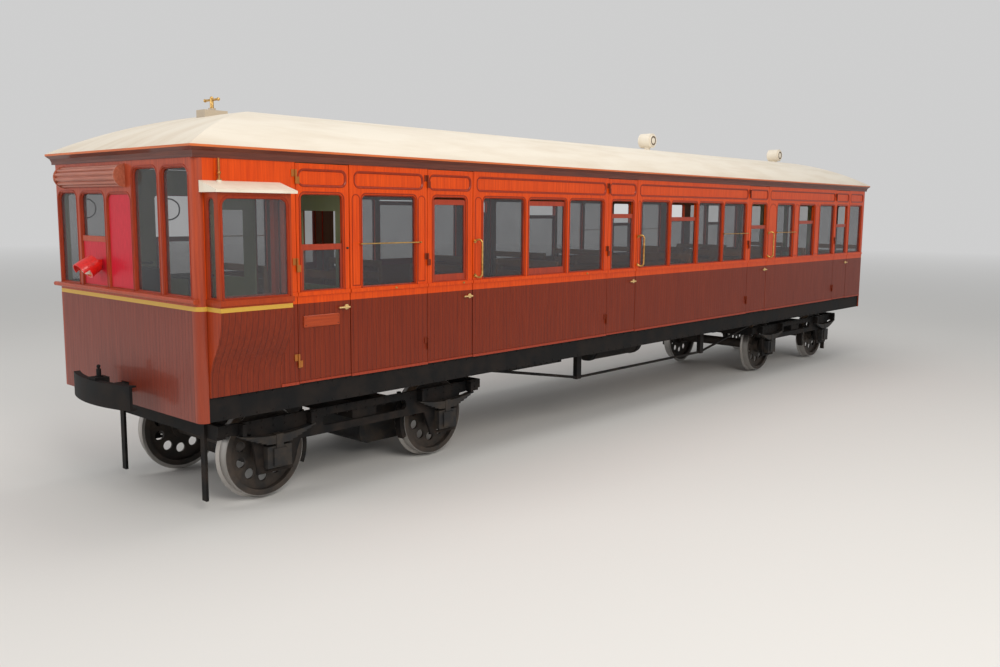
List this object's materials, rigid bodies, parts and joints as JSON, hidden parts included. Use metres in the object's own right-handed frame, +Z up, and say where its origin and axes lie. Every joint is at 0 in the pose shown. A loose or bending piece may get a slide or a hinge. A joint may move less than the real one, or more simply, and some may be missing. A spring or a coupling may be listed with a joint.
{
  "type": "elevated railway carriage",
  "caption": "Timber-bodied electric railway carriage with slam doors, a driving end with a side lookout, a domed roof and two four-wheel bogies.",
  "frame": {"origin": "middle of the body in length and width, at the lowest point of the wheel flanges", "axes": "+X towards the driving end, +Y towards the side with the lookout, +Z up"},
  "size_m": [14.356, 2.926, 3.8388],
  "materials": {
    "varnished_timber": "gloss",
    "end_timber": "gloss",
    "dark_moulding": "satin",
    "roof_canvas": "matte",
    "grey_iron": "matte",
    "brass": "polished",
    "floor_boards": "matte",
    "bench_slats": "satin",
    "black_iron": "satin",
    "cast_iron": "satin",
    "red_paint": "gloss",
    "wheel_steel": "worn",
    "window_glass": "clear"
  },
  "bodies": {
    "carriage": {"side_wall_left": "varnished_timber", "side_wall_right": "varnished_timber", "side_mouldings": "varnished_timber", "lookout_bay": "varnished_timber", "windows_left": "window_glass", "windows_right": "window_glass", "end_windows": "window_glass", "front_end": "end_timber", "rear_end": "end_timber", "front_sill": "end_timber", "reeded_hood": "end_timber", "cornice": "dark_moulding", "cab_partition": "dark_moulding", "roof": "roof_canvas", "bay_roof": "roof_canvas", "roof_ventilators": "grey_iron", "whistle": "brass", "grab_rails": "brass", "floor": "floor_boards", "benches": "bench_slats", "underframe": "black_iron", "truss_rods": "black_iron", "buffers": "black_iron", "reservoirs": "black_iron", "resistance_box": "black_iron", "mullion_rings": "black_iron", "cab_controls": "cast_iron", "red_lamp": "red_paint", "red_panels": "red_paint"},
    "door_left_1": {"door_left_1": "varnished_timber", "door_window_left_1": "window_glass"},
    "door_left_2": {"door_left_2": "varnished_timber", "door_window_left_2": "window_glass"},
    "door_left_3": {"door_left_3": "varnished_timber", "door_window_left_3": "window_glass"},
    "door_left_4": {"door_left_4": "varnished_timber", "door_window_left_4": "window_glass"},
    "door_left_5": {"door_left_5": "varnished_timber", "door_window_left_5": "window_glass"},
    "door_right_1": {"door_right_1": "varnished_timber", "door_window_right_1": "window_glass"},
    "door_right_2": {"door_right_2": "varnished_timber", "door_window_right_2": "window_glass"},
    "door_right_3": {"door_right_3": "varnished_timber", "door_window_right_3": "window_glass"},
    "door_right_4": {"door_right_4": "varnished_timber", "door_window_right_4": "window_glass"},
    "door_right_5": {"door_right_5": "varnished_timber", "door_window_right_5": "window_glass"},
    "bogie_front": {"bogie_frame_front": "black_iron", "axle_boxes_front": "cast_iron", "brake_gear_front": "black_iron", "motors": "cast_iron"},
    "bogie_rear": {"bogie_frame_rear": "black_iron", "axle_boxes_rear": "cast_iron", "brake_gear_rear": "black_iron"},
    "wheelset_front_outer": {"wheelset_front_outer": "wheel_steel"},
    "wheelset_front_inner": {"wheelset_front_inner": "wheel_steel"},
    "wheelset_rear_inner": {"wheelset_rear_inner": "wheel_steel"},
    "wheelset_rear_outer": {"wheelset_rear_outer": "wheel_steel"}
  },
  "joints": [
    {"name": "door_left_1_hinge", "type": "hinge", "parent": "carriage", "child": "door_left_1", "pos_m": [5.905, 1.309, 2.1], "axis": [0, 0, -1], "range_deg": [0, 90]},
    {"name": "door_left_2_hinge", "type": "hinge", "parent": "carriage", "child": "door_left_2", "pos_m": [4.35, 1.309, 2.1], "axis": [0, 0, -1], "range_deg": [0, 90]},
    {"name": "door_left_3_hinge", "type": "hinge", "parent": "carriage", "child": "door_left_3", "pos_m": [1.31, 1.309, 2.1], "axis": [0, 0, -1], "range_deg": [0, 90]},
    {"name": "door_left_4_hinge", "type": "hinge", "parent": "carriage", "child": "door_left_4", "pos_m": [-2.32, 1.309, 2.1], "axis": [0, 0, -1], "range_deg": [0, 90]},
    {"name": "door_left_5_hinge", "type": "hinge", "parent": "carriage", "child": "door_left_5", "pos_m": [-5.515, 1.309, 2.1], "axis": [0, 0, -1], "range_deg": [0, 90]},
    {"name": "door_right_1_hinge", "type": "hinge", "parent": "carriage", "child": "door_right_1", "pos_m": [5.905, -1.309, 2.1], "axis": [0, 0, 1], "range_deg": [0, 90]},
    {"name": "door_right_2_hinge", "type": "hinge", "parent": "carriage", "child": "door_right_2", "pos_m": [4.35, -1.309, 2.1], "axis": [0, 0, 1], "range_deg": [0, 90]},
    {"name": "door_right_3_hinge", "type": "hinge", "parent": "carriage", "child": "door_right_3", "pos_m": [1.31, -1.309, 2.1], "axis": [0, 0, 1], "range_deg": [0, 90]},
    {"name": "door_right_4_hinge", "type": "hinge", "parent": "carriage", "child": "door_right_4", "pos_m": [-2.32, -1.309, 2.1], "axis": [0, 0, 1], "range_deg": [0, 90]},
    {"name": "door_right_5_hinge", "type": "hinge", "parent": "carriage", "child": "door_right_5", "pos_m": [-5.515, -1.309, 2.1], "axis": [0, 0, 1], "range_deg": [0, 90]},
    {"name": "bogie_front_swivel", "type": "hinge", "parent": "carriage", "child": "bogie_front", "pos_m": [4.877, 0, 0.9], "axis": [0, 0, 1], "range_deg": [-6, 6]},
    {"name": "bogie_rear_swivel", "type": "hinge", "parent": "carriage", "child": "bogie_rear", "pos_m": [-4.877, 0, 0.9], "axis": [0, 0, 1], "range_deg": [-6, 6]},
    {"name": "wheelset_front_outer_axle", "type": "hinge", "parent": "bogie_front", "child": "wheelset_front_outer", "pos_m": [5.944, 0, 0.447], "axis": [0, 1, 0], "continuous": true},
    {"name": "wheelset_front_inner_axle", "type": "hinge", "parent": "bogie_front", "child": "wheelset_front_inner", "pos_m": [3.81, 0, 0.447], "axis": [0, 1, 0], "continuous": true},
    {"name": "wheelset_rear_inner_axle", "type": "hinge", "parent": "bogie_rear", "child": "wheelset_rear_inner", "pos_m": [-3.81, 0, 0.447], "axis": [0, 1, 0], "continuous": true},
    {"name": "wheelset_rear_outer_axle", "type": "hinge", "parent": "bogie_rear", "child": "wheelset_rear_outer", "pos_m": [-5.944, 0, 0.447], "axis": [0, 1, 0], "continuous": true}
  ]
}
